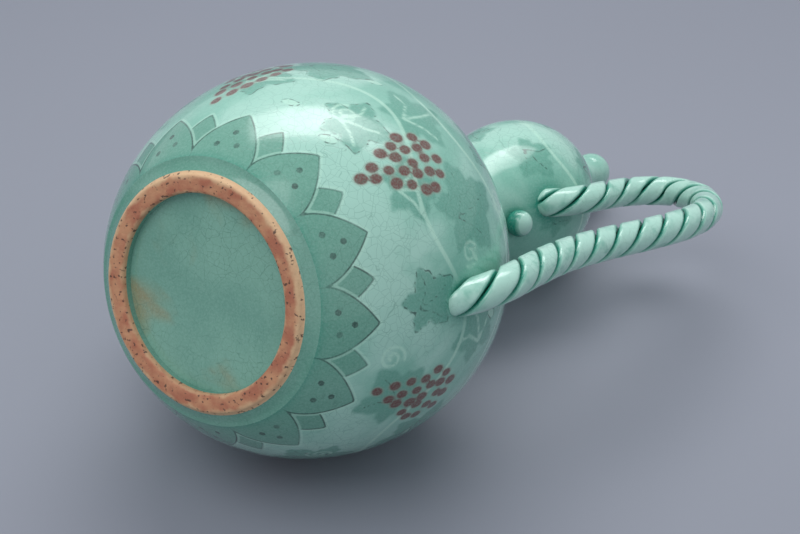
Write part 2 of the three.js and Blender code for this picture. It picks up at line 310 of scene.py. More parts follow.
def new_piece(name, vertices, faces, sharp=40, weld=False):
    mesh = bpy.data.meshes.new(name)
    mesh.from_pydata((np.asarray(vertices) * MM).tolist(), [], faces)
    mesh.update()
    clean_mesh(mesh, weld)
    mesh.polygons.foreach_set("use_smooth", [True] * len(mesh.polygons))
    mesh.set_sharp_from_angle(angle=math.radians(sharp))
    piece = bpy.data.objects.new(name, mesh)
    bpy.context.scene.collection.objects.link(piece)
    return piece


def lathe(profile, sides, closed=False):
    """Vertices and faces of a profile turned round Z. A point on the axis becomes one vertex."""
    vertices, rings, faces = [], [], []
    turn = np.arange(sides) * FULL_TURN / sides
    for radius, height in profile:
        start = len(vertices)
        if radius < 1e-6:
            vertices.append((0, 0, height))
            rings.append([start] * sides)
        else:
            vertices += np.c_[radius * np.cos(turn), radius * np.sin(turn), turn * 0 + height].tolist()
            rings.append(list(range(start, start + sides)))
    followers = rings[1:] + rings[:1] if closed else rings[1:]
    for low, high in zip(rings, followers):
        for j in range(sides):
            k = (j + 1) % sides
            face = list(dict.fromkeys((low[j], low[k], high[k], high[j])))
            if len(face) > 2:
                faces.append(face)
    return vertices, faces


def loft(rings, capped=True):
    sides = len(rings[0])
    vertices = np.concatenate(rings)
    faces = []
    for i in range(len(rings) - 1):
        for j in range(sides):
            k = (j + 1) % sides
            faces.append((i * sides + j, i * sides + k, (i + 1) * sides + k, (i + 1) * sides + j))
    if capped:
        last = (len(rings) - 1) * sides
        faces.append(tuple(reversed(range(sides))))
        faces.append(tuple(range(last, last + sides)))
    return vertices, faces


def store(piece, name, values):
    layer = piece.data.attributes.new(name, "FLOAT", "POINT")
    layer.data.foreach_set("value", np.asarray(values, np.float32))


# Smooth routes through points, sampled evenly
def route(points, steps):
    """A centripetal Catmull-Rom curve through the points, and its length."""
    points = np.array(points, float)
    p = np.vstack((2 * points[0] - points[1], points, 2 * points[-1] - points[-2]))
    knots = np.concatenate(([0], np.cumsum(np.linalg.norm(np.diff(p, axis=0), axis=1) ** 0.5)))
    line = []
    for i in range(1, len(p) - 2):
        t0, t1, t2, t3 = knots[i - 1:i + 3]
        t = np.linspace(t1, t2, SPAN_STEPS, endpoint=False)[:, None]
        a1 = (t1 - t) / (t1 - t0) * p[i - 1] + (t - t0) / (t1 - t0) * p[i]
        a2 = (t2 - t) / (t2 - t1) * p[i] + (t - t1) / (t2 - t1) * p[i + 1]
        a3 = (t3 - t) / (t3 - t2) * p[i + 1] + (t - t2) / (t3 - t2) * p[i + 2]
        b1 = (t2 - t) / (t2 - t0) * a1 + (t - t0) / (t2 - t0) * a2
        b2 = (t3 - t) / (t3 - t1) * a2 + (t - t1) / (t3 - t1) * a3
        line.append((t2 - t) / (t2 - t1) * b1 + (t - t1) / (t2 - t1) * b2)
    line = np.vstack((*line, points[-1:]))
    length = length_along(line)
    even = np.linspace(0, length[-1], steps + 1)
    return np.c_[[np.interp(even, length, line[:, k]) for k in range(3)]].T, length[-1]


def frames(line):
    """Two directions across a route at each of its points, the first as near to Y as it goes."""
    tangent = np.gradient(line, axis=0)
    tangent /= np.linalg.norm(tangent, axis=1)[:, None]
    side = np.array([0, 1.0, 0]) - tangent * tangent[:, 1:2]
    side /= np.linalg.norm(side, axis=1)[:, None]
    return side, np.cross(side, tangent)


def handle_points():
    clear, beside = BULB_RADIUS + HANDLE_CLEAR, UPPER_RADIUS + ROPE_END_RADIUS
    low, high = LOWER_SEAT_Z, UPPER_SEAT_Z
    a, b = LOWER_SEAT_SIDE, UPPER_SEAT_SIDE
    return [
        (BULB_RADIUS - 12, a, low - 4),
        (BULB_RADIUS - 1, a, low + 3),
        (clear - 0.5, a / 2, low + 15),
        (clear, a / 6, low + 34),
        (clear - 0.5, 0, low + 56),
        (clear + 2, 0, low + 80),
        (HANDLE_REACH - 2.5, 0, HANDLE_REACH_Z - 22),
        (HANDLE_REACH, 0, HANDLE_REACH_Z),
        (HANDLE_REACH - 4.5, 0, HANDLE_REACH_Z + 23),
        ((HANDLE_REACH + HANDLE_TOP_REACH) / 2, b / 8, HANDLE_TOP_Z - 7),
        (HANDLE_TOP_REACH, b / 4, HANDLE_TOP_Z),
        (HANDLE_TOP_REACH - 10, b / 2, HANDLE_TOP_Z - 8),
        (beside + 1.5, b * 0.8, high + 29),
        (beside + 0.3, b, high + 17),
        (beside - 4.8, b, high + 6.5),
        (beside - 13.3, b, high),
        (beside - 22, b, high - 3),
    ]


def handle_seat(outline, part):
    """The point of the handle's route that is nearest to a bulb's surface, within a part of the route."""
    line, _ = route(handle_points(), SEAT_SEARCH_STEPS)
    line = line[part]
    off_surface = np.abs(np.hypot(line[:, 0], line[:, 1]) - radius_at(outline, line[:, 2]))
    return line[np.argmin(off_surface)]


# Handle strands and spout
def strand_reach(rope_radius, direction):
    """How far one strand's rounded sector reaches from its own centre in each direction."""
    centre = STRAND_CENTRE * rope_radius
    half = math.pi / STRANDS
    flank = centre * math.sin(half) - SEAT_GAP / 2
    outer = np.sqrt(rope_radius**2 - (centre * np.sin(direction)) ** 2) - centre * np.cos(direction)
    left = np.maximum(0, np.cos(direction - half - math.pi / 2)) / flank
    right = np.maximum(0, np.cos(direction + half + math.pi / 2)) / flank
    total = outer**-STRAND_SOFTNESS + left**STRAND_SOFTNESS + right**STRAND_SOFTNESS
    return total ** (-1 / STRAND_SOFTNESS)


def make_strand(number, materials):
    _, length = route(handle_points(), 1)
    turns = length / ROPE_PITCH
    steps = round(turns * STRAND_STEPS_PER_TURN)
    line, _ = route(handle_points(), steps)
    side, normal = frames(line)
    direction = np.arange(STRAND_SIDES) * FULL_TURN / STRAND_SIDES
    first, last = (round(steps * share) for share in STRAND_SPAN)
    rings, crown = [], []
    for i in range(first, last + 1):
        share = i / steps
        rope = ROPE_ROOT_RADIUS + (ROPE_END_RADIUS - ROPE_ROOT_RADIUS) * share
        from_end = min(i - first, last - i) / steps * length
        rope *= math.sqrt(min(1.0, STRAND_END_AREA + from_end / STRAND_END_LENGTH))
        twist = FULL_TURN * (number / STRANDS - turns * share)
        reach = strand_reach(rope, direction)
        out = STRAND_CENTRE * rope + reach * np.cos(direction)
        aside = reach * np.sin(direction)
        across = out * math.cos(twist) - aside * math.sin(twist)
        over = out * math.sin(twist) + aside * math.cos(twist)
        rings.append(line[i] + across[:, None] * normal[i] + over[:, None] * side[i])
        crown.append(np.hypot(across, over) / rope)
    piece = new_piece(f"rope_strand_{number + 1}", *loft(rings), sharp=75)
    # crown: how near a point is to its strand's crest; the rope's colour paints its highlight from it
    store(piece, "crown", np.concatenate(crown))
    piece.data.materials.append(materials["rope"])
    return piece


def spout_points():
    rise = SPOUT_TIP_Z - SPOUT_ROOT_Z
    reaches_and_rises = (
        (BULB_RADIUS - 3 * WALL, 0),
        (BULB_RADIUS - WALL / 3, 0.07),
        (SPOUT_REACH - 5, 0.2),
        (SPOUT_REACH, 0.4),
        (SPOUT_REACH, 0.7),
        (SPOUT_REACH, 1),
    )
    return [(-reach, 0, SPOUT_ROOT_Z + rise * up) for reach, up in reaches_and_rises]


def make_spout(materials):
    line, _ = route(spout_points(), SPOUT_STEPS)
    side, normal = frames(line)
    turn = np.arange(SPOUT_SIDES) * FULL_TURN / SPOUT_SIDES

    def ring(i, radius):
        return line[i] + radius * (np.cos(turn)[:, None] * normal[i] + np.sin(turn)[:, None] * side[i])

    def tapered(i, root, tip):
        return root + (tip - root) * (i / SPOUT_STEPS) ** SPOUT_TAPER_POWER

    first = round(SPOUT_STEPS * SPOUT_FIRST_SHARE)
    up = range(first, SPOUT_STEPS + 1)
    rings = [ring(i, tapered(i, SPOUT_ROOT_RADIUS, SPOUT_TIP_RADIUS)) for i in up]
    rings[-1] = ring(SPOUT_STEPS, SPOUT_TIP_RADIUS - SPOUT_TIP_ROUNDING)
    rings += [ring(i, tapered(i, SPOUT_ROOT_BORE, SPOUT_TIP_BORE)) for i in reversed(up)]
    rings.append(rings[0].copy())
    piece = new_piece("spout_glazed", *loft(rings, capped=False), weld=True)
    piece.data.materials.append(materials["plain"])
    return piece


# Signed distances to motifs, in millimetres, on a bulb's unrolled surface
def polyline_distance(points, line):
    best = np.full(len(points), FAR)
    for a, b in zip(line, line[1:]):
        d = b - a
        t = np.clip(((points - a) @ d) / max(d @ d, 1e-9), 0, 1)
        best = np.minimum(best, np.linalg.norm(points - a - t[:, None] * d, axis=1))
    return best


def outline_distance(points, outline):
    """Distance to a closed outline, negative inside it."""
    closed = np.vstack((outline, outline[:1]))
    away = polyline_distance(points, closed)
    inside = np.zeros(len(points), bool)
    for (ax, ay), (bx, by) in zip(closed, closed[1:]):
        if ay != by:
            crossing = (ay > points[:, 1]) != (by > points[:, 1])
            inside ^= crossing & (points[:, 0] < (bx - ax) * (points[:, 1] - ay) / (by - ay) + ax)
    return np.where(inside, -away, away)


class Canvas:
    """The painted fields on one turned piece: each is a distance in millimetres.

    A place is (azimuth, length along the outline, spin)."""

    def __init__(self, outline, vertices):
        sides = len(vertices) // len(outline)
        self.points = np.array(vertices)
        self.turn = np.arctan2(self.points[:, 1], self.points[:, 0])
        self.radius = np.repeat(outline[:, 0], sides)
        self.along = np.repeat(length_along(outline), sides)
        self.fields = {name: np.full(len(self.turn), FAR) for name in PAINTED_FIELDS}
        self.pool = np.zeros(len(self.turn))

    def local(self, azimuth, along, spin=0.0):
        offset = (self.turn - azimuth + math.pi) % FULL_TURN - math.pi
        flat = np.c_[offset * self.radius, self.along - along]
        c, s = math.cos(spin), math.sin(spin)
        return flat @ np.array([[c, -s], [s, c]])

    def put(self, field, values, where=slice(None)):
        kept = self.fields[field]
        kept[where] = np.minimum(kept[where], values)

    def shape(self, place, outline, reach, fills=(), edges=()):
        flat = self.local(*place)
        near = np.hypot(flat[:, 0], flat[:, 1]) < reach
        if near.any():
            away = outline_distance(flat[near], outline)
            for field in fills:
                self.put(field, away, near)
            for field in edges:
                self.put(field, np.abs(away), near)

    def line(self, place, points, reach, field):
        flat = self.local(*place)
        near = np.hypot(flat[:, 0], flat[:, 1]) < reach
        if near.any():
            self.put(field, polyline_distance(flat[near], points), near)

    def pool_round(self, place, radius, fade, depth=1.0):
        gap = np.linalg.norm(self.points - place, axis=1)
        self.pool = np.maximum(self.pool, np.exp(-np.maximum(gap - radius, 0) / fade) * depth)

    def pool_at(self, height, fade, depth):
        self.pool = np.maximum(self.pool, np.exp(-np.abs(self.points[:, 2] - height) / fade) * depth)

    def pool_at_foot(self, fade, depth):
        self.pool = np.maximum(self.pool, np.exp(-self.along / fade) * depth)

    def save(self, piece, first):
        count = len(piece.data.vertices)
        for name, values in (*self.fields.items(), ("pool", self.pool)):
            whole = np.full(count, 0.0 if name == "pool" else FAR)
            whole[first:first + len(values)] = values
            store(piece, name, whole)


# Outlines of the motifs
def petal_outline(length, half, bluntness=1.0):
    t = np.linspace(0, 1, 26)
    u = np.clip((t - PETAL_SHOULDER) / (1 - PETAL_SHOULDER), 0, 1)
    pinch = np.clip((PETAL_SHOULDER - t) / PETAL_SHOULDER, 0, 1) ** 2
    width = half * (1 - u ** (PETAL_POWER * bluntness)) - PETAL_PINCH * half * pinch
    right = np.c_[width, t * length]
    return np.vstack((right, right[::-1] * (-1, 1)))


def leaf_outline(size):
    """A leaf of five lobes with a toothed edge."""
    psi = np.linspace(0, FULL_TURN, 72, endpoint=False)
    reach = 0.72 + 0.15 * np.cos(5 * psi) + 0.05 * np.cos(15 * psi + 0.6) + 0.13 * np.cos(psi)
    return np.c_[np.sin(psi), np.cos(psi)] * (size * reach)[:, None]


def ellipse_outline(across, along):
    psi = np.linspace(0, FULL_TURN, 24, endpoint=False)
    return np.c_[across * np.cos(psi), along * np.sin(psi)]


def tendril_line(radius):
    t = np.linspace(0, 1, 40)
    turn = FULL_TURN * TENDRIL_TURNS * t
    return np.c_[np.cos(turn), np.sin(turn)] * (radius * (1 - TENDRIL_TIGHTENING * t))[:, None]


# Painting
def paint_petals(canvas):
    behind = petal_outline(PETAL_BEHIND_TIP - PETAL_START, PETAL_BEHIND_HALF, PETAL_BEHIND_BLUNTNESS)
    front = petal_outline(PETAL_TIP - PETAL_START, PETAL_HALF)
    for k in range(PETALS):
        azimuth = PETAL_PHASE + k * FULL_TURN / PETALS
        between = azimuth + math.pi / PETALS
        canvas.shape((between, PETAL_START), behind, PETAL_FIELD, fills=("petal_behind",))
        canvas.shape((azimuth, PETAL_START), front, PETAL_FIELD, fills=("petal",))
        for across, along in PETAL_DOTS:
            dot = canvas.local(azimuth, along) - (across, 0)
            canvas.put("ink", np.hypot(dot[:, 0], dot[:, 1]) - PETAL_DOT_RADIUS)


def paint_grapes(canvas):
    for bunch in GRAPE_BUNCHES:
        flat = canvas.local(math.radians(bunch), GRAPE_TIP, GRAPE_LEAN)
        near = np.abs(flat[:, 0]) < GRAPE_FIELD_HALF
        near &= (flat[:, 1] > GRAPE_FIELD_SPAN[0]) & (flat[:, 1] < GRAPE_FIELD_SPAN[1])
        for row, count in enumerate(GRAPE_ROWS):
            for j in range(count):
                from_middle = j - (count - 1) / 2
                across = from_middle * GRAPE_SPACING[0] + rng.uniform(-GRAPE_SCATTER[0], GRAPE_SCATTER[0])
                along = row * GRAPE_SPACING[1] + rng.uniform(-GRAPE_SCATTER[1], GRAPE_SCATTER[1])
                spot = (flat[near] - (across, along)) / GRAPE_STRETCH
                canvas.put("copper", np.hypot(spot[:, 0], spot[:, 1]) - rng.uniform(*GRAPE_RADII), near)


def paint_leaf(canvas, place, size, inked, pale):
    canvas.shape(place, leaf_outline(size), size * LEAF_FIELD, ("leaf",), ("ink",) if inked else ())
    for angle in VEIN_ANGLES:
        tip = np.array((math.sin(angle), math.cos(angle))) * size * VEIN_LENGTH
        bend = tip * 0.5 + np.array((tip[1], -tip[0])) * VEIN_BEND
        vein = np.array(((0, VEIN_ROOT * size), bend, tip))
        canvas.line(place, vein, size * VEIN_FIELD, "slip" if pale else "ink")


def paint_leaves(canvas, rows):
    for row_along, count, row_size, start in rows:
        for k in range(count):
            azimuth = math.radians(start + 360 * k / count + rng.uniform(-LEAF_SCATTER, LEAF_SCATTER))
            along = row_along + rng.uniform(-LEAF_SCATTER, LEAF_SCATTER)
            spin = rng.uniform(-LEAF_SPIN, LEAF_SPIN)
            size = row_size * rng.uniform(*LEAF_SIZES)
            inked = rng.uniform() < INKED_LEAVES
            pale = rng.uniform() < PALE_VEINS
            paint_leaf(canvas, (azimuth, along, spin), size, inked, pale)


def paint_stems(canvas, stems):
    for along, swing, waves, shift in stems:
        centre = along + swing * np.sin(waves * canvas.turn + shift)
        slope = swing * waves * np.cos(waves * canvas.turn + shift) / canvas.radius
        canvas.put("slip", np.abs(canvas.along - centre) / np.hypot(1, slope) - STEM_HALF)


def paint_tendrils(canvas, places, radius, spin_per_degree):
    for degrees, along in places:
        place = (math.radians(degrees), along, degrees * spin_per_degree)
        canvas.line(place, tendril_line(radius), radius * 2, "slip")


def paint_ovals(canvas):
    for degrees, along, spin in OVALS:
        place = (math.radians(degrees), along, spin)
        canvas.shape(place, ellipse_outline(*OVAL_EDGE), OVAL_FIELD, edges=("ink",))
        canvas.shape(place, ellipse_outline(*OVAL_FILL), OVAL_FIELD, fills=("slip",))


def paint_lower(canvas, outline):
    paint_leaves(canvas, LOWER_LEAF_ROWS)
    paint_stems(canvas, LOWER_STEMS)
    paint_tendrils(canvas, LOWER_TENDRILS, LOWER_TENDRIL_RADIUS, LOWER_TENDRIL_SPIN)
    among_petals = canvas.along < PETAL_TIP + PETAL_MARGIN
    for name in ("leaf", "ink", "slip"):
        canvas.fields[name][among_petals] = FAR
    paint_petals(canvas)
    paint_grapes(canvas)
    paint_ovals(canvas)
    spout_seat = np.array((1 - BULB_RADIUS, 0, SPOUT_ROOT_Z + 9))
    canvas.pool_round(handle_seat(outline, slice(0, 60)), radius=5.5, fade=4.2, depth=0.95)
    canvas.pool_round(spout_seat, radius=12, fade=3.5, depth=0.9)
    canvas.pool_at(WAIST_Z - 12, fade=5.0, depth=0.5)
    canvas.pool_at_foot(fade=1.6, depth=0.5)


def paint_upper(canvas, outline):
    paint_leaves(canvas, UPPER_LEAF_ROWS)
    paint_stems(canvas, UPPER_STEMS)
    paint_tendrils(canvas, UPPER_TENDRILS, UPPER_TENDRIL_RADIUS, UPPER_TENDRIL_SPIN)
    bud_seat = np.array((radius_at(outline, BUD_Z), BUD_SIDE, BUD_Z))
    canvas.pool_round(handle_seat(outline, slice(100, None)), radius=6, fade=3.5)
    canvas.pool_round(bud_seat, radius=4.5, fade=2.5)
    canvas.pool_at(WAIST_Z + 10, fade=6.0, depth=0.45)


# Materials
class Look:
    """One material, with short calls for the nodes that the looks share."""

    def __init__(self, name):
        self.material = bpy.data.materials.new(name)
        self.material.use_nodes = True
        self.tree = self.material.node_tree
        self.shader = next(n for n in self.tree.nodes if n.type == "BSDF_PRINCIPLED")

    def node(self, kind, links=None, **settings):
        made = self.tree.nodes.new(kind)
        for key, value in settings.items():
            setattr(made, key, value)
        for key, value in (links or {}).items():
            self.feed(made, key, value)
        return made

    def feed(self, target, key, value):
        if isinstance(value, bpy.types.NodeSocket):
            self.tree.links.new(value, target.inputs[key])
        else:
            target.inputs[key].default_value = value

    def mix(self, factor, low, high):
        return self.node("ShaderNodeMix", {0: factor, 6: low, 7: high}, data_type="RGBA").outputs[2]

    def calc(self, operation, first, second=0.0):
        return self.node("ShaderNodeMath", {0: first, 1: second}, operation=operation).outputs[0]

    def vector(self, operation, links):
        return self.node("ShaderNodeVectorMath", links, operation=operation)

    def ramp(self, value, low, high, start=0.0, end=1.0):
        links = {"Value": value, "From Min": low, "From Max": high, "To Min": start, "To Max": end}
        return self.node("ShaderNodeMapRange", links, interpolation_type="SMOOTHSTEP").outputs["Result"]

    def attribute(self, name):
        return self.node("ShaderNodeAttribute", attribute_name=name).outputs["Fac"]

    def place(self):
        return self.node("ShaderNodeTexCoord").outputs["Object"]

    def noise(self, scale, detail=3.0, distortion=0.0):
        links = {"Vector": self.place(), "Scale": scale, "Detail": detail, "Distortion": distortion}
        return self.node("ShaderNodeTexNoise", links).outputs["Fac"]

    def patches(self, scale, low, high, start=0.0, end=1.0, detail=3.0, distortion=0.0):
        return self.ramp(self.noise(scale, detail, distortion), low, high, start, end)

    def wander(self, scale, amount, detail=3.0):
        return self.calc("MULTIPLY", self.calc("SUBTRACT", self.noise(scale, detail), 0.5), amount)

    def near_line(self, distance, offset):
        return self.calc("ABSOLUTE", self.calc("SUBTRACT", distance, offset))

    def crazing(self, scale, width):
        """Fine crack lines: the edges of cells whose walls wander a little."""
        place = self.place()
        links = {"Vector": place, "Scale": scale * 0.5, "Detail": 2.0}
        random = self.node("ShaderNodeTexNoise", links).outputs["Color"]
        centred = self.vector("SUBTRACT", {0: random, 1: (0.5, 0.5, 0.5)}).outputs[0]
        shift = self.vector("SCALE", {0: centred, "Scale": 0.9 / scale}).outputs[0]
        moved = self.vector("ADD", {0: place, 1: shift}).outputs[0]
        links = {"Vector": moved, "Scale": scale}
        cells = self.node("ShaderNodeTexVoronoi", links, feature="DISTANCE_TO_EDGE")
        return self.ramp(cells.outputs["Distance"], 0.0, width, start=1.0, end=0.0)

    def bump(self, height, strength, distance):
        links = {"Strength": strength, "Distance": distance, "Height": height}
        self.feed(self.shader, "Normal", self.node("ShaderNodeBump", links).outputs["Normal"])

    def glaze(self, colour, crackle=0.35):
        """Glass over the colour, with crazing, fine grain and a gently uneven surface."""
        lines = self.calc("MAXIMUM", self.crazing(330.0, 0.035), self.crazing(120.0, 0.014))
        patchy = self.patches(scale=28.0, low=0.35, high=0.65, start=0.25)
        shown = self.calc("MULTIPLY", self.calc("MULTIPLY", lines, patchy), crackle)
        colour = self.mix(shown, colour, CRAZE)
        grain = self.patches(scale=1400.0, detail=2.0, low=0.35, high=0.75, end=0.16)
        colour = self.mix(grain, colour, GLAZE_PALE)
        self.feed(self.shader, "Base Color", colour)
        self.feed(self.shader, "Roughness", self.patches(scale=45.0, low=0.3, high=0.7, start=0.07, end=0.2))
        self.feed(self.shader, "IOR", 1.5)
        self.feed(self.shader, "Coat Weight", 0.25)
        self.feed(self.shader, "Coat Roughness", 0.05)
        cut = self.calc("MULTIPLY", lines, -0.05)
        self.bump(self.calc("ADD", self.noise(60.0, detail=2.0), cut), strength=0.22, distance=0.0012)
        return self.material


def painted_ground(look, wander):
    mottle = look.patches(scale=26.0, detail=4.0, distortion=0.6, low=0.36, high=0.62)
    colour = look.mix(mottle, GLAZE_MID, GLAZE_PALE)
    leaf = look.calc("ADD", look.attribute("leaf"), wander)
    colour = look.mix(look.ramp(leaf, -0.9, 0.9, start=0.86, end=0.0), colour, LEAF)
    return look.mix(look.ramp(look.attribute("slip"), 0.2, 1.1, start=0.4, end=0.0), colour, SLIP)


def painted_petals(look, colour):
    """Petals with a pale line outside each and a dark line on its edge. Ink covers both."""
    front, behind = look.attribute("petal"), look.attribute("petal_behind")
    both = look.calc("MINIMUM", front, behind)
    colour = look.mix(look.ramp(both, -0.25, 0.15, start=0.85, end=0.0), colour, PETAL)
    rims = look.calc("MINIMUM", look.near_line(front, 0.75), look.near_line(both, 0.75))
    pale = look.calc("MINIMUM", rims, look.attribute("slip"))
    colour = look.mix(look.ramp(pale, 0.2, 0.7, start=0.42, end=0.0), colour, SLIP)
    covered = look.calc("SUBTRACT", 1.2, front)
    behind_line = look.calc("MAXIMUM", look.calc("ABSOLUTE", behind), covered)
    lines = look.calc("MINIMUM", look.calc("ABSOLUTE", front), behind_line)
    drawn = look.calc("MINIMUM", lines, look.attribute("ink"))
    fade = look.patches(scale=90.0, low=0.35, high=0.6, start=0.5)
    ink = look.calc("MULTIPLY", look.ramp(drawn, 0.12, 0.45, start=0.85, end=0.0), fade)
    return look.mix(ink, colour, INK)


def painted_glaze():
    look = Look("painted_celadon")
    wander = look.wander(scale=240.0, amount=1.6)
    colour = painted_petals(look, painted_ground(look, wander))
    spots = look.calc("ADD", look.attribute("copper"), look.calc("MULTIPLY", wander, 0.35))
    colour = look.mix(look.ramp(spots, -0.2, 0.9, start=0.5, end=0.0), colour, COPPER_BLOOM)
    colour = look.mix(look.ramp(spots, -0.45, 0.25, start=0.93, end=0.0), colour, COPPER)
    uneven = look.patches(scale=70.0, low=0.2, high=0.6, start=0.75)
    colour = look.mix(look.calc("MULTIPLY", look.attribute("pool"), uneven), colour, EMERALD)
    return look.glaze(colour)


def petal_glaze():
    look = Look("petal_celadon")
    colour = look.mix(look.patches(scale=35.0, detail=4.0, low=0.35, high=0.65), PETAL, BASE_GREEN)
    return look.glaze(colour)


def base_glaze():
    look = Look("base_celadon")
    colour = look.mix(look.patches(scale=35.0, detail=4.0, low=0.35, high=0.65), BASE_GREEN, BASE_PALE)
    stain = look.patches(scale=24.0, distortion=0.8, low=0.52, high=0.68, end=0.75)
    return look.glaze(look.mix(stain, colour, STAIN), crackle=0.5)


def plain_glaze():
    look = Look("plain_celadon")
    mottle = look.patches(scale=40.0, detail=4.0, distortion=0.5, low=0.36, high=0.62)
    return look.glaze(look.mix(mottle, GLAZE_MID, GLAZE_PALE), crackle=0.4)


def rope_glaze():
    """Green glaze pooled in the grooves; thin, pale glaze on the crests, lightened further as a painted
    highlight.
    """
    look = Look("rope_celadon")
    crown = look.calc("ADD", look.attribute("crown"), look.wander(scale=160.0, amount=0.12))
    colour = look.mix(look.ramp(crown, 0.87, 0.97), EMERALD, GLAZE_MID)
    # The crests are painted pale: thin glaze, and a painted highlight
    colour = look.mix(look.ramp(crown, 0.965, 1.0), colour, ROPE_THIN_GLAZE_AND_HIGHLIGHT)
    return look.glaze(colour, crackle=0.25)


def bare_clay():
    """Fired clay: tan edges with a reddish band between them, and dark specks."""
    look = Look("bare_stoneware")
    parts = look.node("ShaderNodeSeparateXYZ", {0: look.place()})
    flat = look.node("ShaderNodeCombineXYZ", {0: parts.outputs[0], 1: parts.outputs[1]}).outputs[0]
    radius = look.vector("LENGTH", {0: flat}).outputs["Value"]
    edge = look.calc("ADD", radius, look.wander(scale=220.0, amount=4 * MM, detail=4.0))
    middle = (FOOT_OUTER_RADIUS - FOOT_WIDTH / 2) * MM
    colour = look.mix(look.patches(scale=130.0, detail=5.0, low=0.35, high=0.65), CLAY_RED, CLAY_ORANGE)
    colour = look.mix(look.ramp(edge, middle + 1.2 * MM, middle + 3.2 * MM), colour, CLAY_TAN)
    inner = look.ramp(edge, middle - 3.4 * MM, middle - 2.2 * MM, start=0.7, end=0.0)
    colour = look.mix(inner, colour, CLAY_TAN)
    specks = look.patches(scale=620.0, detail=2.0, low=0.60, high=0.68, end=0.85)
    look.feed(look.shader, "Base Color", look.mix(specks, colour, CLAY_DARK))
    look.feed(look.shader, "Roughness", look.patches(scale=300.0, low=0.3, high=0.7, start=0.6, end=0.85))
    look.bump(look.noise(500.0, detail=5.0), strength=0.6, distance=0.0006)
    return look.material


def floor_grey():
    """Plain floor that is clear from below, so that it hides nothing there."""
    look = Look("floor_grey")
    shade = look.patches(scale=2.0, detail=2.0, low=0.3, high=0.7)
    look.feed(look.shader, "Base Color", look.mix(shade, FLOOR_GREY, FLOOR_GREY_LIGHTER))
    look.feed(look.shader, "Roughness", 0.75)
    behind = look.node("ShaderNodeNewGeometry").outputs["Backfacing"]
    clear = look.node("ShaderNodeBsdfTransparent").outputs[0]
    both = look.node("ShaderNodeMixShader", {0: behind, 1: look.shader.outputs[0], 2: clear}).outputs[0]
    output = next(n for n in look.tree.nodes if n.type == "OUTPUT_MATERIAL")
    look.feed(output, "Surface", both)
    return look.material


# Pieces of the pot
def make_lower(materials):
    outside = lower_outline()
    floor = FOOT_HEIGHT + FLOOR_THICKNESS
    inside = inside_of(outside, WALL)
    inside = inside[inside[:, 1] > floor][::-4]
    reach = np.linspace(0, FOOT_FLARE_RADIUS, BASE_STEPS, endpoint=False)
    base = np.c_[reach, np.full(BASE_STEPS, FOOT_HEIGHT)]
    floor_ends = np.array(((inside[-1, 0] - WALL, floor), (0, floor)))
    vertices, faces = lathe(np.vstack((base, outside, inside, floor_ends)), LOWER_SIDES)
    piece = new_piece("lower_bulb_glazed", vertices, faces)
    first = 1 + (BASE_STEPS - 1) * LOWER_SIDES
    last = first + len(outside) * LOWER_SIDES
    canvas = Canvas(outside, vertices[first:last])
    paint_lower(canvas, outside)
    canvas.save(piece, first)
    piece.data.materials.append(materials["painted"])
    piece.data.materials.append(materials["base"])
    for face in piece.data.polygons:
        face.material_index = 0 if all(first <= i < last for i in face.vertices) else 1
    return piece


def make_upper(materials):
    outside = upper_outline()
    share = (outside[:, 1] - WAIST_Z) / (COLLAR_Z - WAIST_Z)
    wall = WALL + (COLLAR_RADIUS - MOUTH_BORE_RADIUS - WALL) * share
    inside = inside_of(outside, wall)[::-3]
    profile = np.vstack((outside, inside, [[WAIST_RADIUS - WALL, WAIST_Z]]))
    vertices, faces = lathe(profile, UPPER_SIDES, closed=True)
    piece = new_piece("upper_bulb_glazed", vertices, faces)
    canvas = Canvas(outside, vertices[:len(outside) * UPPER_SIDES])
    paint_upper(canvas, outside)
    canvas.save(piece, 0)
    piece.data.materials.append(materials["painted"])
    return piece


def make_lip(materials):
    width = (LIP_RADIUS - MOUTH_BORE_RADIUS) * LIP_ROLL
    centre = LIP_RADIUS - width
    start = -math.acos((COLLAR_RADIUS - centre) / width)
    end = math.acos((MOUTH_BORE_RADIUS - centre) / width)
    angle = np.linspace(start, end, LIP_STEPS + 1)
    height = HEIGHT - LIP_HALF_HEIGHT + LIP_HALF_HEIGHT * np.sin(angle)
    roll = np.c_[centre + width * np.cos(angle), height]
    profile = np.vstack(([[COLLAR_RADIUS, COLLAR_Z]], roll, [[MOUTH_BORE_RADIUS, COLLAR_Z]]))
    piece = new_piece("mouth_lip_glazed", *lathe(profile, LIP_SIDES, closed=True), sharp=60)
    piece.data.materials.append(materials["plain"])
    return piece


def foot_points():
    """The ring's section from the glaze inside it, round its worn foot and up to the glazed flare."""
    inner, outer = FOOT_OUTER_RADIUS - FOOT_WIDTH, FOOT_OUTER_RADIUS
    return [
        (inner, 0, FOOT_HEIGHT), (inner, 0, 2.6), (inner + 0.1, 0, 1.2), (inner + 0.5, 0, 0.45),
        (inner + 1.3, 0, 0.08), (inner + 2.4, 0, 0.0), (outer - 1.6, 0, 0.0), (outer - 0.8, 0, 0.12),
        (outer - 0.25, 0, 0.5), (outer + 0.1, 0, 1.1), (outer + 0.8, 0, 2.0), (outer + 2.1, 0, 3.0),
        (outer + 3.6, 0, 3.9), (FOOT_FLARE_RADIUS, 0, FOOT_HEIGHT),
    ]


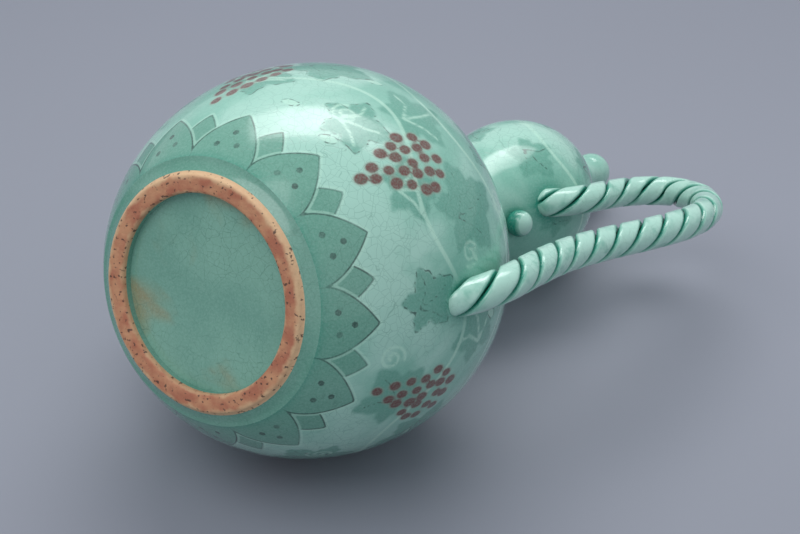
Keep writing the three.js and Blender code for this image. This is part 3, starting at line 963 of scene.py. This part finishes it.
def make_foot(materials):
    profile, _ = route(foot_points(), FOOT_STEPS)
    vertices, faces = lathe(profile[:, (0, 2)], FOOT_SIDES, closed=True)
    vertices = np.array(vertices)
    turn = np.arctan2(vertices[:, 1], vertices[:, 0])
    radial = np.hypot(vertices[:, 0], vertices[:, 1])
    wave = sum(rng.uniform(0.3, 1) * np.sin(k * turn + rng.uniform(0, 6)) for k in FOOT_WEAR_WAVES)
    wear = np.exp(-((radial - FOOT_OUTER_RADIUS) / FOOT_WEAR_WIDTH) ** 2) * FOOT_WEAR
    lift = np.clip(wear * wave / len(FOOT_WEAR_WAVES), 0, 1)
    vertices[:, 2] += lift * (vertices[:, 2] < FOOT_HEIGHT - 0.2)
    piece = new_piece("foot_ring_bare", vertices, faces, sharp=60)
    piece.data.materials.append(materials["clay"])
    piece.data.materials.append(materials["petal"])
    inner = FOOT_OUTER_RADIUS - FOOT_WIDTH
    glazed = (radial > FOOT_OUTER_RADIUS + FLARE_GLAZE_EDGE[0]) & (vertices[:, 2] > FLARE_GLAZE_EDGE[1])
    glazed |= (radial < inner + INNER_GLAZE_EDGE[0]) & (vertices[:, 2] > INNER_GLAZE_EDGE[1])
    for face in piece.data.polygons:
        face.material_index = int(all(glazed[i] for i in face.vertices))
    return piece


def make_bud(materials):
    centre = Vector((radius_at(upper_outline(), BUD_Z) + BUD_RADIUS * BUD_LIFT, BUD_SIDE, BUD_Z))
    ball = bmesh.new()
    bmesh.ops.create_uvsphere(ball, u_segments=48, v_segments=32, radius=BUD_RADIUS)
    vertices = [tuple(v.co + centre) for v in ball.verts]
    faces = [[v.index for v in f.verts] for f in ball.faces]
    out = np.array([v.co.x for v in ball.verts]) / BUD_RADIUS
    ball.free()
    piece = new_piece("handle_bud_glazed", vertices, faces)
    # The bud's outward side gets the rope's pale crest colour, a painted highlight; its side against the bulb
    # gets the pooled green
    store(piece, "crown", 0.72 + 0.3 * np.clip(out + BUD_LIFT, 0, 1))
    piece.data.materials.append(materials["rope"])
    return piece


def build_pot():
    materials = {
        "painted": painted_glaze(),
        "base": base_glaze(),
        "petal": petal_glaze(),
        "plain": plain_glaze(),
        "rope": rope_glaze(),
        "clay": bare_clay(),
    }
    made = [
        (make_lower(materials), "lower_bulb", "body_glaze"),
        (make_upper(materials), "upper_bulb", "body_glaze"),
        (make_lip(materials), "mouth_lip", "body_glaze"),
        (make_foot(materials), "foot_ring", "bare_clay"),
        (make_bud(materials), "handle_bud", "rope_glaze"),
        (make_spout(materials), "spout", "body_glaze"),
    ]
    for number in range(STRANDS):
        made.append((make_strand(number, materials), f"handle_strand_{number + 1}", "rope_glaze"))
    for piece, cad_node, slot in made:
        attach(piece, "root")
        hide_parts(cad_node)
    return {cad_node: piece for piece, cad_node, _ in made}


# The photograph's viewpoint and light
def pot_axes():
    """The pot's X, Y and Z as the camera sees them: x right, y down, z forwards."""
    across_axis = math.sin(AXIS_TILT)
    axis = Vector((across_axis * math.cos(AXIS_ROLL), across_axis * math.sin(AXIS_ROLL), math.cos(AXIS_TILT)))
    aside = Vector((-math.sin(AXIS_ROLL), math.cos(AXIS_ROLL), 0))
    across = aside.cross(axis)
    c, s = math.cos(HANDLE_TURN), math.sin(HANDLE_TURN)
    return Matrix((across * c + aside * s, aside * c - across * s, axis))


def placed(thing, right, up, back, place):
    turn = Matrix((right, up, back)).transposed().to_4x4()
    turn.translation = place
    thing.matrix_world = turn
    bpy.context.scene.collection.objects.link(thing)


def make_camera(axes):
    data = bpy.data.cameras.new("camera")
    data.sensor_width = SENSOR_MM
    data.lens = FOCAL_PIXELS / IMAGE_WIDTH * SENSOR_MM
    data.clip_start = 0.01
    data.clip_end = 50
    camera = bpy.data.objects.new("camera", data)
    right, up, back = (axes @ Vector(v) for v in ((1, 0, 0), (0, -1, 0), (0, 0, -1)))
    placed(camera, right, up, back, axes @ (-FOOT_PLACE) * MM)
    bpy.context.scene.camera = camera


def make_floor(axes, pieces):
    """A floor that both bulbs touch."""
    up = axes @ Vector((0, -math.cos(CAMERA_RISE), -math.sin(CAMERA_RISE)))
    bulbs = (pieces["lower_bulb"], pieces["upper_bulb"])
    level = min(v.co.dot(up) for bulb in bulbs for v in bulb.data.vertices) - FLOOR_GAP
    side = up.orthogonal().normalized()
    other = up.cross(side)
    signs = ((-1, -1), (1, -1), (1, 1), (-1, 1))
    corners = [tuple(up * level + (side * a + other * b) * FLOOR_HALF) for a, b in signs]
    mesh = bpy.data.meshes.new("floor")
    mesh.from_pydata(corners, [], [(0, 1, 2, 3)])
    mesh.materials.append(floor_grey())
    floor = bpy.data.objects.new("floor", mesh)
    bpy.context.scene.collection.objects.link(floor)


def make_light(name, axes, towards, distance, size, power, spread):
    data = bpy.data.lights.new(name, "AREA")
    data.shape = "RECTANGLE"
    data.size, data.size_y = size
    data.energy = power
    data.spread = math.radians(spread)
    light = bpy.data.objects.new(name, data)
    back = axes @ towards.normalized()
    camera_right = axes @ Vector((1, 0, 0))
    right = (camera_right - back * back.dot(camera_right)).normalized()
    placed(light, right, back.cross(right), back, LIGHT_TARGET + back * distance)


def make_world():
    world = bpy.data.worlds.new("studio")
    bpy.context.scene.world = world
    world.use_nodes = True
    background = next(n for n in world.node_tree.nodes if n.type == "BACKGROUND")
    background.inputs["Color"].default_value = WORLD_GREY
    background.inputs["Strength"].default_value = WORLD_STRENGTH


pieces = build_pot()
axes = pot_axes()
make_camera(axes)
make_floor(axes, pieces)
make_light("window", axes, WINDOW_TOWARDS, WINDOW_DISTANCE, WINDOW_SIZE, WINDOW_POWER, WINDOW_SPREAD)
make_light("fill", axes, FILL_TOWARDS, FILL_DISTANCE, FILL_SIZE, FILL_POWER, FILL_SPREAD)
make_world()
bpy.context.scene.view_settings.view_transform = "Standard"

bpy.context.view_layer.update()
